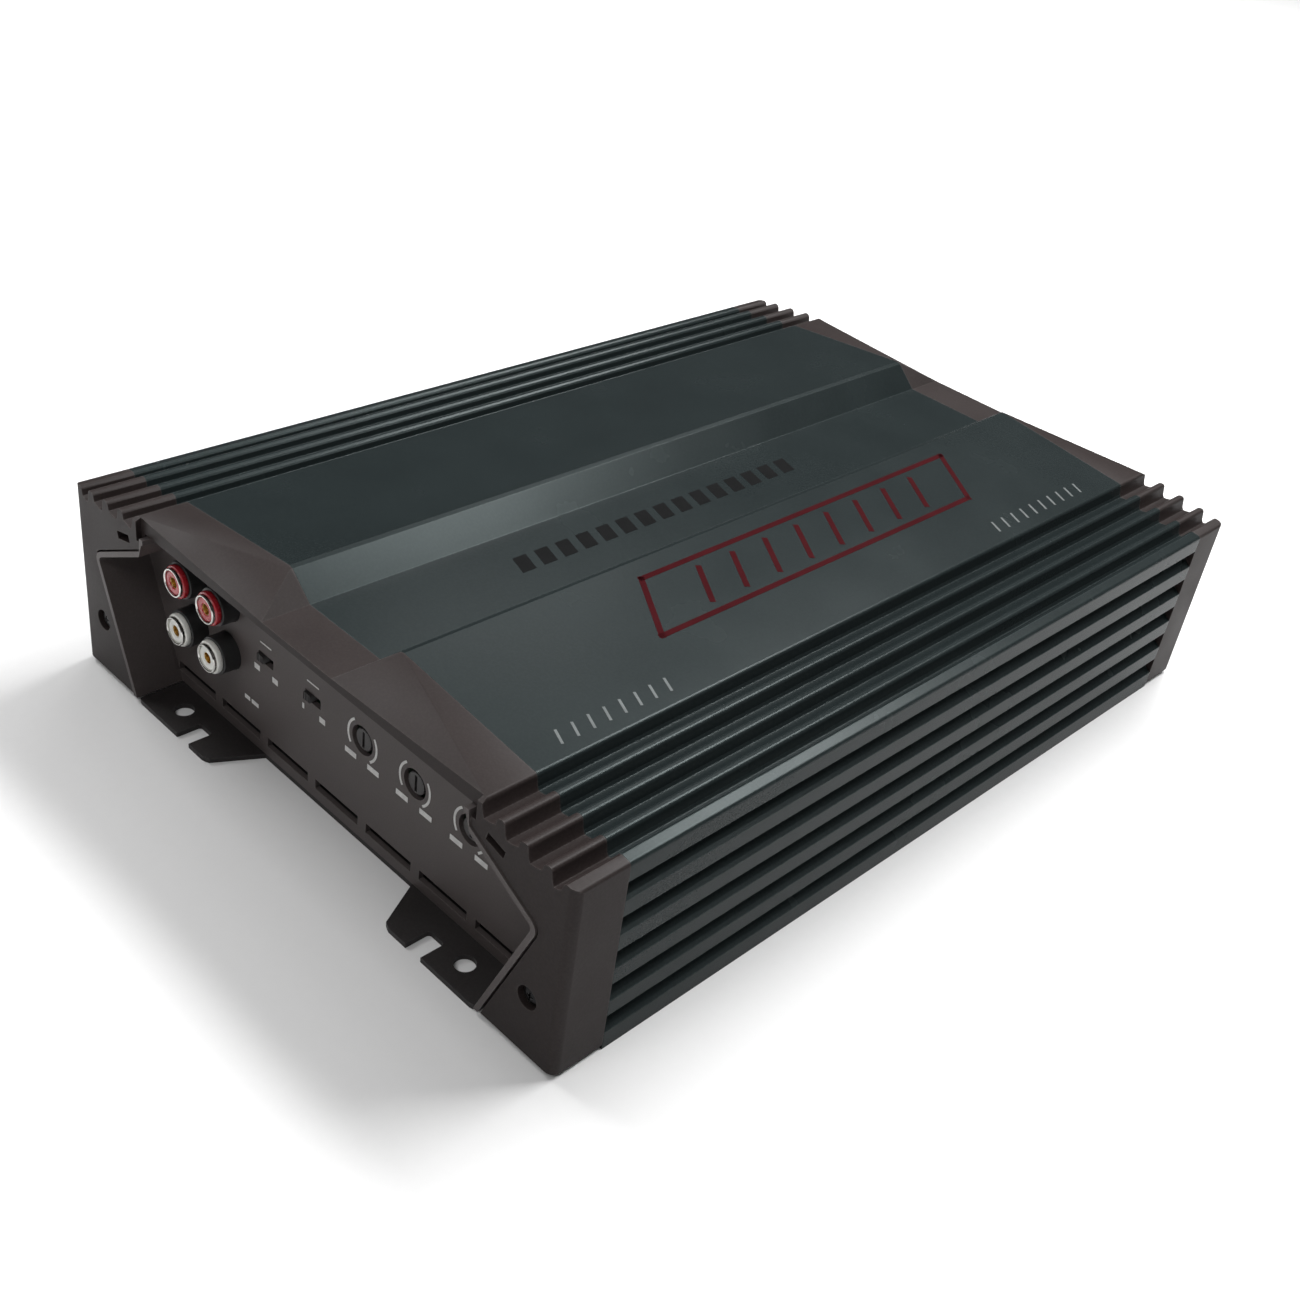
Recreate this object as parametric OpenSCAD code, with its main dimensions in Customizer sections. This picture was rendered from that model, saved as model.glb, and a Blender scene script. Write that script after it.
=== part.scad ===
// Car audio amplifier: finned aluminium body, two moulded end caps with corner
// feet, recessed terminal panels, bottom plate with four mounting ears, and the
// boards, coils and terminals inside. Front (signal) end faces -Y, power end +Y.
// Origin: centre of the footprint, at the underside of the bottom plate.

/* [Body] */
// Width of the finned body across the side faces
body_w = 200; // [196:1:206]
// Overall length over both end caps
body_l = 279; // [276:1:300]
// Height of the two crests beside the centre channel
crest_h = 66; // [65:0.5:68]
// Length of each end cap
cap_l = 15.5; // [15:0.5:18]

/* [Fins] */
// Distance from one top fin to the next
fin_pitch = 7.5; // [7.3:0.1:7.6]
// Depth of the grooves between the top fins
fin_depth = 4.2; // [3:0.1:4.4]
// Height step from one side groove to the next
side_pitch = 10.2; // [9.8:0.1:10.3]
// Depth of the side grooves
side_depth = 3.5; // [2:0.1:4]

/* [Panels] */
// Length of one vent slot
vent_l = 18.4; // [12:0.2:19]
// Distance between neighbouring vent slots
vent_pitch = 21.8; // [20:0.1:21.8]
// Distance between neighbouring front controls
control_pitch = 20.75; // [18:0.25:20.75]
// Distance between neighbouring signal jacks
jack_pitch = 15.4; // [14:0.2:15.6]

/* [Mounting ears] */
// Half the distance between the ear holes across the body
ear_hole_x = 61.2; // [59:0.1:63]
// Radius of the ear holes
ear_hole_r = 2.8; // [2:0.1:3]
// Width of the open notches in the ears
notch_w = 5.7; // [4:0.1:6]

/* [Hidden] */
$fn = 48;
fit = 0.05;
gap = 0.3;
over = 1;

half_w = body_w / 2;
end_y = body_l / 2;
core_y = end_y - cap_l;

// cross-section of the body, right half, seen from the front
sheet_t = 1.5;
channel_x = 14.1;
channel_z = crest_h - 6.9;
crest_x = 22;
shoulder_x = half_w - 29.5;
shoulder_z = crest_h - 4.7;
tip_r = 1.1;
tip_inner = 1.7;
edge_inner = 3.1;
tip_steps = 5;
fin_drop = 0.95;
groove_steps = 7;
fins = 4;
side_grooves = 5;
side_top_z = 51.3;
side_groove_h = 5;
wall_x = half_w - 8;
plate_x = half_w - 4.5;
rail_x = wall_x - 7;

function fin_x(i) = half_w - tip_r - (fins - i) * fin_pitch;
function fin_z(i) = shoulder_z - i * fin_drop;
function tip_arc(x, z, from, to) = [for (k = [0:tip_steps])
    let (a = from + (to - from) * k / tip_steps)
    [x + tip_r * cos(a), z - tip_r + tip_r * sin(a)]];
function scoop(x0, z0, x1, z1) = [for (k = [0:groove_steps])
    let (t = k / groove_steps)
    [x0 + (x1 - x0) * t, z0 + (z1 - z0) * t * t]];
// left shoulder of the fin tip at x, z: rounded, w to the inner side
function tip_shoulder(x, z, w) = [[x - w, z - 1.5], [x - w + 0.15, z - 0.8], [x - w + 0.6, z - 0.3],
    [x - w + 1.2, z - 0.05]];
// one top groove: steep on the inner side, then scooped up to the next fin tip
function top_groove(i) = concat(
    i > 0 ? tip_shoulder(fin_x(i), fin_z(i), tip_inner) : [],
    tip_arc(fin_x(i), fin_z(i), 75, 0),
    [[fin_x(i) + tip_r + 0.4, fin_z(i) - fin_depth + 0.8]],
    scoop(fin_x(i) + tip_r + 0.9, fin_z(i) - fin_depth,
        fin_x(i + 1) - (i < fins - 1 ? tip_inner : edge_inner) - 0.2, fin_z(i + 1) - 2.4));
// one side groove: a ledge at the top, then scooped out to the side face
function side_groove(j) = let (z = side_top_z - j * side_pitch) concat(
    [[half_w, z + 0.5], [half_w - 0.4, z], [half_w - side_depth + 0.5, z]],
    [for (k = [0:groove_steps]) let (t = k / groove_steps)
        [half_w - side_depth * (1 - t * t), z - 0.6 - (side_groove_h - 0.6) * t]]);
function top_edge() = concat(
    [[channel_x, channel_z], [crest_x - 0.5, crest_h - 0.4], [crest_x + 0.8, crest_h - 0.1]],
    [for (i = [0:fins - 1]) each top_groove(i)],
    tip_shoulder(fin_x(fins), fin_z(fins), edge_inner),
    tip_arc(fin_x(fins), fin_z(fins) - 0.35, 75, 0));
function side_edge() = [for (j = [0:side_grooves - 1]) each side_groove(j)];
function mirrored(points) = [for (k = [len(points) - 1:-1:0]) [-points[k][0], points[k][1]]];
function both_sides(points) = concat(points, mirrored(points));

// recess in each end cap: bottom corner, outer corner, shelf corner, top
recess_foot = [74.9, sheet_t - over];
recess_side = [91.5, 40.2];
recess_shelf = [66.8, 53];
recess_top = [66.8, 57];
panel_y = core_y + sheet_t;
hood_y = end_y - 1.6;
lip_out = 0.4;
lip_t = 1.5;
lip_gap = 0.5;
flange_x = recess_top[0] - lip_gap - lip_t;
recess_r = 3.5;

// arc that rounds corner b of the path a-b-c, drawn at distance d inside it
function unit(v) = v / norm(v);
function corner(a, b, c, r, d) = let (
        u = unit(a - b), v = unit(c - b),
        half = acos(u * v) / 2,
        mid = b + unit(u + v) * r / sin(half),
        s = atan2(-u[1], -u[0]), e = atan2(v[1], v[0]),
        turn = (e - s + 540) % 360 - 180, side = turn > 0 ? -90 : 90)
    [for (k = [0:6]) let (t = s + side + turn * k / 6) mid + (r - d) * [cos(t), sin(t)]];
// point of the line a-b moved inwards by d, at the height z
function inset(a, b, d, z) = let (u = unit(b - a), n = [-u[1], u[0]], p = a + n * d)
    [p[0] + u[0] * (z - p[1]) / u[1], z];
function recess_right(d) = concat(
    [inset(recess_foot, recess_side, d, sheet_t - over)],
    corner(recess_foot, recess_side, recess_shelf, recess_r, d),
    [inset(recess_side, recess_shelf, d, recess_shelf[1] - d * 1.2)]);
function recess_path(d) = concat(recess_right(d), [recess_top - [d, 0]]);

// latch slot in each foot of the end caps
latch_at = [72, 52.2];
latch_size = [6, 5, 2.2];
latch_tilt = 14;
cap_edge_r = 2.5;

// M3 screws: thread core, clearance hole and head
core_r = 1.25;
clear_r = 1.7;
head_r = 2.8;
head_h = 2;
cross_w = 0.8;
end_screw = [half_w - 10.5, 18.4];
end_boss_r = 4.6;
end_bore_r = 1.3;
end_head_r = 2.9;
counterbore_r = 3.1;
counterbore_d = 3;
panel_screw = [56, 52];
panel_boss_r = 3.5;
panel_head = [2.6, 1.6];
bottom_screw_x = half_w - 11.5;
bottom_screw_ys = [-105, 0, 105];
bottom_screw_l = 6.5;
rail_h = 6;

// vent slots of the panels
vent_z = 6.3;
vent_h = 3.1;

// ears of the bottom plate
neck_x = 72;
ear_in = 32;
ear_out = 72.8;
ear_step = 8;
ear_r = 1.2;
notch_x = 50.4;
notch_r = 1;
notch_end = panel_y + 6.7;
ear_hole_y = end_y - 7.1;

// signal jacks: places, radii, and lengths out of the panel
jack_x = -48.6;
jack_z = 26.3;
jack_collar = 4.8;
jack_ring = 6.3;
jack_tip = 7.2;
collar_r = 5.4;
ring_r = 4.75;
shell_r = 4.15;
core_pin_r = 1.6;
insulator_r = 3.5;
jack_block_d = 17;
jack_block_margin = [8, 6.5];
jack_bore_d = 6;

// level controls and slide switches
control_z = 33;
control_x = 51.7;
control_board_y = -core_y + 13;
control_hole_r = 4.2;
pot_d = 9;
pot_l = 7;
shaft_r = 1.5;
shaft_l = 3.7;
knob_r = 3.3;
knob_slot = [0.9, 1, 4.8];
knob_front = -panel_y + 0.35;
pot_front = control_board_y - pot_l;
switch_window = [6.6, 3];
switch_size = [13, 6.5, 7];
switch_well = [8.8, 3, 4];
switch_front = control_board_y - switch_size[1];
slider_travel = 1.6;
slider_out = 0.9;
nub = [2.8, 2.4];
slider_foot = [4.8, 2.2, 3.4];
slider_lift = 0.5;

// boards
board_z = 9.5;
board_t = 1.6;
board_top = board_z + board_t;
board_size = [166, 232];
board_screws_at = [for (x = [-72, 72], y = [-104, 0, 104]) [x, y]];
standoff_r = 3.2;
standoff_bore_r = 1.3;
standoff_foot_r = 2.1;
control_board_h = 34;
header_size = [28, 5, 9];

// toroid coils and capacitors
coil_wall = 2.4;
supply_at = [-34, 46];
supply_coil = [14, 25, 20];
choke_at = [36, 26];
choke_coil = [11, 19, 15];
can_score = [0.6, 0.8];
input_can = [8, 30];
rail_can = [9, 36];

// power end
block_z = 15;
block_h = 22;
block_out = 11;
block_in = 12;
wire_z = 22;
terminal_y = core_y + 6;
power_wires = [[62, 4.6], [46, 2.2], [30, 4.6]];
speaker_wires = [[-46, 3.2], [-62, 3.2]];
insert_w = 13;
insert_top = 33;
insert_lip = 1.2;
socket_d = 2.6;
fuse_xs = [-14, 2];
fuse_z = 26;
fuse_size = [5.2, 5, 19.4];
fuse_grip = [3.6, 5, 15.4];
blade = [0.8, 10, 5.2];
blade_dz = 7;
holder_out = 4;
holder_margin = [6, 12];
light_xs = [-24, -17];
light_z = 44;
light_r = 1.5;
light_flange_r = 1.9;

// transistors and clamps on the side walls
device_size = [4.6, 10, 16];
device_z = 25;
device_pitch = 30;
device_count = 6;
pad_t = 0.4;
lead_pitch = 2.54;
lead_w = 0.8;
lead_x = 80.4;
clamp_t = 4;
clamp_z = [30, 8];
clamp_screw_z = 34;
clamp_end = 20;
clamp_l = device_pitch * (device_count - 1) + 2 * clamp_end;

module along_y(y0, y1) {
    translate([0, y1, 0]) rotate([90, 0, 0]) linear_extrude(height = y1 - y0) children();
}

module both_ends() {
    children();
    mirror([0, 1, 0]) children();
}

module left_right() {
    children();
    mirror([1, 0, 0]) children();
}

module rod_y(x, z, r, y0, y1) {
    translate([x, y0, z]) rotate([-90, 0, 0]) cylinder(h = y1 - y0, r = r);
}

module body_outline(grooved) {
    polygon(both_sides(concat(
        top_edge(),
        grooved ? side_edge() : [],
        [[half_w, grooved ? 0 : sheet_t]])));
}

module cavity_outline() {
    polygon(both_sides([[16, channel_z - 4.1], [24, crest_h - 5], [66, shoulder_z - 4.6],
        [70, shoulder_z - 8], [wall_x - 7, 49], [wall_x, 44], [wall_x, -over]]));
}

// ---- casing ----

module heatsink_body() {
    color("#4a5352") difference() {
        along_y(-core_y, core_y) heatsink_section();
        at_bottom_screws() cylinder(h = bottom_screw_l + 0.5, r = core_r);
        left_right() for (k = [0:device_count]) {
            translate([wall_x - over, clamp_screw_y(k), clamp_screw_z])
                rotate([0, 90, 0]) cylinder(h = 5 + over, r = core_r);
        }
    }
}

// screw bosses and bottom rails are left standing when the cavity is cut
module heatsink_section() {
    difference() {
        body_outline(true);
        difference() {
            cavity_outline();
            section_bosses();
        }
        translate([-plate_x, -over]) square([2 * plate_x, sheet_t + over]);
        for (s = [-1, 1]) {
            translate([s * end_screw[0], end_screw[1]]) circle(r = end_bore_r);
            translate([s * panel_screw[0], panel_screw[1]]) circle(r = core_r);
        }
    }
}

module section_bosses() {
    for (s = [-1, 1]) {
        translate([s * end_screw[0], end_screw[1]]) circle(r = end_boss_r);
        translate([s * panel_screw[0], panel_screw[1]]) circle(r = panel_boss_r);
        translate([s * panel_screw[0] - panel_boss_r, panel_screw[1]])
            square([2 * panel_boss_r, shoulder_z - panel_screw[1]]);
        translate([s * (rail_x + wall_x) / 2 - (wall_x - rail_x) / 2, sheet_t])
            square([wall_x - rail_x, rail_h]);
    }
}

module at_bottom_screws() {
    for (x = [-bottom_screw_x, bottom_screw_x], y = bottom_screw_ys) {
        translate([x, y, 0]) children();
    }
}

// plane through the outer hood corner, the crest end and the channel end
module hood_slope() {
    outer = [shoulder_x, -hood_y, shoulder_z];
    crest = [crest_x, -core_y, crest_h];
    inner = [channel_x, -hood_y, channel_z];
    n = unit(cross(inner - outer, crest - outer));
    up = n[2] > 0 ? n : -n;
    intersection() {
        translate(crest) rotate([0, acos(up[2]), atan2(up[1], up[0])])
            translate([-body_w, -body_w, 0]) cube([2 * body_w, 2 * body_w, crest_h]);
        translate([channel_x, -end_y - over, 0])
            cube([shoulder_x - channel_x + 0.4, cap_l + over, 2 * crest_h]);
    }
}

module end_cap() {
    difference() {
        intersection() {
            along_y(-end_y, -core_y) body_outline(false);
            rounded_block();
        }
        along_y(-end_y - over, -core_y + over) polygon(both_sides(recess_path(0)));
        translate([-recess_top[0] - 1.6, -end_y - over, recess_top[1] - 2])
            cube([2 * recess_top[0] + 3.2, 1.6 + over, crest_h]);
        left_right() {
            hood_slope();
            rod_y(end_screw[0], end_screw[1], clear_r, -end_y - over, -core_y + over);
            rod_y(end_screw[0], end_screw[1], counterbore_r, -end_y - over, -end_y + counterbore_d);
            translate([latch_at[0], -end_y - over, latch_at[1]]) rotate([0, latch_tilt, 0])
                cube(latch_size);
        }
    }
}

// block with the two front vertical edges rounded
module rounded_block() {
    r = cap_edge_r;
    h = 2 * crest_h;
    translate([-half_w, -end_y + r, 0]) cube([body_w, cap_l, h]);
    translate([-half_w + r, -end_y, 0]) cube([body_w - 2 * r, cap_l, h]);
    for (x = [-half_w + r, half_w - r]) {
        translate([x, -end_y + r, 0]) cylinder(h = h, r = r);
    }
}

module front_end_cap() {
    color("#453e3c") end_cap();
}

module rear_end_cap() {
    color("#453e3c") mirror([0, 1, 0]) end_cap();
}

// sheet panel at the bottom of the recess, with side flanges bent outwards
module flanged_panel() {
    difference() {
        union() {
            along_y(-panel_y, -core_y) panel_outline(lip_gap);
            along_y(-end_y - lip_out, -core_y) difference() {
                panel_outline(lip_gap);
                panel_outline(lip_gap + lip_t);
                translate([-flange_x, recess_shelf[1] - 3.4]) square([2 * flange_x, 20]);
            }
        }
        for (k = [-3:3]) {
            translate([k * vent_pitch - vent_l / 2, -panel_y - over, vent_z - vent_h / 2])
                cube([vent_l, sheet_t + 2 * over, vent_h]);
        }
        left_right() rod_y(panel_screw[0], panel_screw[1], clear_r, -panel_y - over, -core_y + over);
    }
}

module panel_outline(d) {
    intersection() {
        polygon(both_sides(recess_path(d)));
        translate([-half_w, sheet_t]) square([body_w, recess_top[1] - sheet_t - d]);
    }
}

module front_panel() {
    color("#4b4442") difference() {
        flanged_panel();
        at_jacks() rod_y(0, 0, collar_r + 0.2, -panel_y - over, -core_y + over);
        for (k = [2:4]) {
            rod_y(control_at(k), control_z, control_hole_r, -panel_y - over, -core_y + over);
        }
        for (k = [0:1]) {
            translate([control_at(k) - switch_window[0] / 2, -panel_y - over,
                    control_z - switch_window[1] / 2])
                cube([switch_window[0], sheet_t + 2 * over, switch_window[1]]);
        }
    }
}

module rear_panel() {
    color("#4b4442") mirror([0, 1, 0]) difference() {
        flanged_panel();
        panel_window(block_left(power_wires) - gap, block_right(power_wires) + gap,
            block_z - gap, block_z + block_h + gap);
        panel_window(block_left(speaker_wires) - gap, block_right(speaker_wires) + gap,
            block_z - gap, block_z + block_h + gap);
        panel_window(fuse_xs[0] - holder_margin[0] - gap, fuse_xs[1] + holder_margin[0] + gap,
            fuse_z - holder_margin[1] - gap, fuse_z + holder_margin[1] + gap);
        for (x = light_xs) {
            rod_y(x, light_z, light_r + 0.1, -panel_y - over, -core_y + over);
        }
    }
}

module panel_window(x0, x1, z0, z1) {
    translate([x0, -panel_y - over, z0]) cube([x1 - x0, sheet_t + 2 * over, z1 - z0]);
}

module bottom_plate() {
    color("#2e2a29") difference() {
        union() {
            translate([-plate_x + 0.2, -core_y, 0]) cube([2 * plate_x - 0.4, 2 * core_y, sheet_t]);
            translate([-neck_x, -panel_y, 0]) cube([2 * neck_x, 2 * panel_y, sheet_t]);
            both_ends() left_right() linear_extrude(height = sheet_t) ear_outline();
        }
        both_ends() left_right() ear_openings();
        at_bottom_screws() translate([0, 0, -over]) cylinder(h = 2 * sheet_t + over, r = clear_r);
        for (p = board_screws_at) {
            translate([p[0], p[1], -over]) cylinder(h = 2 * sheet_t + over, r = standoff_foot_r);
        }
    }
}

module ear_outline() {
    polygon([[ear_in, -core_y + 2], [ear_in, -panel_y], [ear_in + ear_step - ear_r, -end_y + 0.9],
        [ear_in + ear_step, -end_y + 0.3], [ear_in + ear_step + 1, -end_y],
        [ear_out - ear_r, -end_y], [ear_out - 0.3, -end_y + 0.3], [ear_out, -end_y + ear_r],
        [ear_out, -core_y + 2]]);
}

// round hole, and a notch open to the end with two rounded inner corners
module ear_openings() {
    h = sheet_t + 2 * over;
    translate([ear_hole_x, -ear_hole_y, -over]) cylinder(h = h, r = ear_hole_r);
    translate([notch_x - notch_w / 2, -end_y - over, -over])
        cube([notch_w, end_y + over - notch_end - notch_r, h]);
    translate([notch_x - notch_w / 2 + notch_r, -end_y - over, -over])
        cube([notch_w - 2 * notch_r, end_y + over - notch_end, h]);
    for (s = [-1, 1]) {
        translate([notch_x + s * (notch_w / 2 - notch_r), -notch_end - notch_r, -over])
            cylinder(h = h, r = notch_r);
    }
}

// pan-head screw lying along +Y from its head at y0
module screw_y(x, z, y0, shank_r, shank_l, r, h) {
    w = cross_w;
    difference() {
        union() {
            rod_y(x, z, r, y0, y0 + h);
            rod_y(x, z, shank_r, y0 + h, y0 + h + shank_l);
        }
        translate([x - r * 0.6, y0 - over, z - w / 2]) cube([r * 1.2, w + over, w]);
        translate([x - w / 2, y0 - over, z - r * 0.6]) cube([w, w + over, r * 1.2]);
    }
}

module end_cap_screws() {
    color("#1c1c1c") both_ends() left_right() {
        screw_y(end_screw[0], end_screw[1], -end_y + counterbore_d - head_h - 0.2, end_bore_r - fit,
            cap_l + 6, end_head_r, head_h + 0.2);
    }
}

module panel_screws() {
    color("#1c1c1c") both_ends() left_right() {
        screw_y(panel_screw[0], panel_screw[1], -panel_y - panel_head[1], core_r - fit, 8,
            panel_head[0], panel_head[1]);
    }
}

module bottom_screws() {
    color("#1c1c1c") at_bottom_screws() translate([0, 0, fit]) {
        cylinder(h = sheet_t - 2 * fit, r = clear_r - 2 * fit);
        cylinder(h = bottom_screw_l, r = core_r - fit);
    }
}

// ---- boards ----

module main_board() {
    color("#1f5a36") difference() {
        translate([-board_size[0] / 2, -board_size[1] / 2, board_z])
            cube([board_size[0], board_size[1], board_t]);
        for (p = board_screws_at) {
            translate([p[0], p[1], board_z - over]) cylinder(h = board_t + 2 * over, r = clear_r);
        }
    }
}

module board_standoffs() {
    color("#c2a14e") for (p = board_screws_at) {
        translate([p[0], p[1], 0]) difference() {
            union() {
                translate([0, 0, sheet_t]) cylinder(h = board_z - sheet_t, r = standoff_r);
                translate([0, 0, 0.1]) cylinder(h = sheet_t, r = standoff_foot_r - fit);
            }
            translate([0, 0, -over]) cylinder(h = board_z + 2 * over, r = standoff_bore_r);
        }
    }
}

module board_screws() {
    color("#b9bcbf") for (p = board_screws_at) {
        translate([p[0], p[1], board_top]) {
            cylinder(h = head_h, r = head_r);
            translate([0, 0, -6]) cylinder(h = 6.2, r = standoff_bore_r - fit);
        }
    }
}

module control_board() {
    color("#1f5a36") translate([control_at(0) - 9, control_board_y, board_top])
        cube([4 * control_pitch + 18, board_t, control_board_h]);
}

module board_header() {
    color("#161616") translate([control_at(2) - header_size[0] / 2, control_board_y + board_t, board_top])
        cube(header_size);
}

// ---- signal end ----

function control_at(k) = control_x - (4 - k) * control_pitch;

module at_jacks() {
    for (i = [0:1], j = [0:1]) {
        translate([jack_x - i * jack_pitch, 0, jack_z + j * jack_pitch]) children();
    }
}

// behind the panel: one block that carries the four jacks
module jack_block() {
    color("#141414") difference() {
        translate([jack_x - jack_pitch - jack_block_margin[0], -core_y + 0.1, board_top])
            cube([jack_pitch + 2 * jack_block_margin[0], jack_block_d,
                jack_z + jack_pitch + jack_block_margin[1] - board_top]);
        at_jacks() rod_y(0, 0, shell_r, -end_y, -core_y + jack_bore_d);
    }
}

// in front of it: a collar round each jack, standing out of its panel hole
module jack_collars() {
    color("#141414") at_jacks() difference() {
        rod_y(0, 0, collar_r, -panel_y - jack_collar, -core_y + 0.1);
        rod_y(0, 0, shell_r, -end_y, -core_y + over);
    }
}

// coloured outer ring, and the insulator inside the plated barrel
module jack_ring() {
    difference() {
        rod_y(0, 0, ring_r, -panel_y - jack_ring, -panel_y - jack_collar);
        rod_y(0, 0, shell_r, -end_y, -core_y);
    }
    difference() {
        rod_y(0, 0, insulator_r, -panel_y - jack_tip + 0.4, -core_y + 2);
        rod_y(0, 0, core_pin_r, -end_y, -core_y - 1);
    }
}

module jack_row(j) {
    for (i = [0:1]) {
        translate([jack_x - i * jack_pitch, 0, jack_z + j * jack_pitch]) jack_ring();
    }
}

module red_jack_rings() {
    color("#b3121d") jack_row(1);
}

module white_jack_rings() {
    color("#f2f2ee") jack_row(0);
}

module jack_shells() {
    color("#c9ccd0") at_jacks() difference() {
        rod_y(0, 0, shell_r, -panel_y - jack_tip, -core_y + jack_bore_d - 1);
        rod_y(0, 0, insulator_r, -end_y, 0);
    }
}

module pot_bodies() {
    color("#24507a") for (k = [2:4]) {
        difference() {
            translate([control_at(k) - pot_d / 2, pot_front, control_z - pot_d / 2])
                cube([pot_d, pot_l, pot_d]);
            rod_y(control_at(k), control_z, shaft_r + fit, pot_front - over, pot_front + 4);
        }
    }
}

module control_knob(k) {
    color("#1a1a1a") difference() {
        union() {
            rod_y(control_at(k), control_z, knob_r, knob_front, pot_front - gap);
            rod_y(control_at(k), control_z, shaft_r, pot_front - over, pot_front + shaft_l);
        }
        translate([control_at(k) - knob_slot[0] / 2, knob_front - over, control_z - knob_slot[2] / 2])
            cube([knob_slot[0], knob_slot[1] + over, knob_slot[2]]);
    }
}

module gain_knob() {
    control_knob(2);
}

module filter_knob() {
    control_knob(3);
}

module boost_knob() {
    control_knob(4);
}

module switch_bodies() {
    color("#2b2b2b") for (k = [0:1]) {
        difference() {
            translate([control_at(k) - switch_size[0] / 2, switch_front, control_z - switch_size[2] / 2])
                cube(switch_size);
            translate([control_at(k) - switch_well[0] / 2, switch_front - over,
                    control_z - switch_well[2] / 2])
                cube([switch_well[0], switch_well[1] + over, switch_well[2]]);
        }
    }
}

// the slider rests at the left end of its travel
module switch_slider(k) {
    color("#171717") translate([control_at(k) - slider_travel, 0, control_z]) {
        translate([-nub[0] / 2, -panel_y - slider_out, -nub[1] / 2])
            cube([nub[0], switch_front + slider_lift + panel_y + slider_out, nub[1]]);
        translate([-slider_foot[0] / 2, switch_front + slider_lift, -slider_foot[2] / 2])
            cube(slider_foot);
    }
}

module phase_slider() {
    switch_slider(0);
}

module range_slider() {
    switch_slider(1);
}

// ---- power supply and output stage ----

// ring with its section grown by d; coil = [inner radius, outer radius, height]
module toroid(at, coil, d) {
    translate([at[0], at[1], board_top + 0.2 + coil_wall - d]) difference() {
        cylinder(h = coil[2] + 2 * d, r = coil[1] + d);
        translate([0, 0, -over]) cylinder(h = coil[2] + 2 * d + 2 * over, r = coil[0] - d);
    }
}

module coil_shell(at, coil) {
    difference() {
        toroid(at, coil, coil_wall);
        toroid(at, coil, 0);
    }
}

module supply_core() {
    color("#3d5a46") toroid(supply_at, supply_coil, -fit);
}

module supply_winding() {
    color("#a8582a") coil_shell(supply_at, supply_coil);
}

module choke_core() {
    color("#5a5a30") toroid(choke_at, choke_coil, -fit);
}

module choke_winding() {
    color("#a8582a") coil_shell(choke_at, choke_coil);
}

// capacitor of size [radius, height], scored across the top
module can(x, y, size) {
    translate([x, y, board_top]) difference() {
        cylinder(h = size[1], r = size[0]);
        for (a = [0, 60, 120]) {
            translate([0, 0, size[1]]) rotate([0, 0, a])
                cube([size[0], can_score[0], can_score[1]], center = true);
        }
    }
}

module input_capacitors() {
    color("#20263a") for (k = [0:3]) {
        can(-54 + k * 20, 88, input_can);
    }
}

module rail_capacitors() {
    color("#20263a") for (i = [0:1], j = [0:1]) {
        can(-44 + i * 22, -28 - j * 24, rail_can);
    }
}

function device_y(k) = (k - (device_count - 1) / 2) * device_pitch;
function clamp_screw_y(k) = (k - device_count / 2) * device_pitch;

// package against the right wall, its leads bent in over the board edge
module device(k) {
    x = wall_x - pad_t - device_size[0];
    translate([x, device_y(k) - device_size[1] / 2, device_z]) cube(device_size);
    for (s = [-1:1]) {
        translate([lead_x, device_y(k) + s * lead_pitch - lead_w / 2, device_z + 0.6])
            cube([x - lead_x + over, lead_w, lead_w]);
        translate([lead_x, device_y(k) + s * lead_pitch - lead_w / 2, board_top])
            cube([lead_w, lead_w, device_z + 1 - board_top]);
    }
}

module output_transistors() {
    color("#1b1b1d") for (k = [0:device_count - 1]) {
        device(k);
    }
}

module supply_transistors() {
    color("#1b1b1d") mirror([1, 0, 0]) for (k = [0:device_count - 1]) {
        device(k);
    }
}

module thermal_pad() {
    difference() {
        translate([wall_x - pad_t, device_y(0) - clamp_end, device_z - 1])
            cube([pad_t, clamp_l, device_size[2] + 2]);
        at_clamp_screws() cylinder(h = 8 * over, r = 1.8);
    }
}

module at_clamp_screws() {
    for (k = [0:device_count]) {
        translate([wall_x - 4, clamp_screw_y(k), clamp_screw_z]) rotate([0, 90, 0]) children();
    }
}

module clamp_bar() {
    x = wall_x - pad_t - device_size[0] - clamp_t;
    difference() {
        translate([x, device_y(0) - clamp_end, clamp_z[0]]) cube([clamp_t, clamp_l, clamp_z[1]]);
        for (k = [0:device_count]) {
            translate([x - over, clamp_screw_y(k), clamp_screw_z])
                rotate([0, 90, 0]) cylinder(h = clamp_t + 2 * over, r = clear_r);
        }
    }
}

module right_thermal_pad() {
    color("#9aa0a2") thermal_pad();
}

module left_thermal_pad() {
    color("#9aa0a2") mirror([1, 0, 0]) thermal_pad();
}

module right_clamp_bar() {
    color("#8d9092") clamp_bar();
}

module left_clamp_bar() {
    color("#8d9092") mirror([1, 0, 0]) clamp_bar();
}

module clamp_screws() {
    x = wall_x - pad_t - device_size[0] - clamp_t;
    color("#b9bcbf") left_right() for (k = [0:device_count]) {
        translate([x, clamp_screw_y(k), clamp_screw_z]) rotate([0, 90, 0]) {
            translate([0, 0, -head_h]) cylinder(h = head_h, r = head_r);
            cylinder(h = wall_x - x + 4.5, r = core_r - fit);
        }
    }
}

// ---- power end ----

function block_right(wires) = max([for (w = wires) w[0]]) + 9;
function block_left(wires) = min([for (w = wires) w[0]]) - 9;

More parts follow.
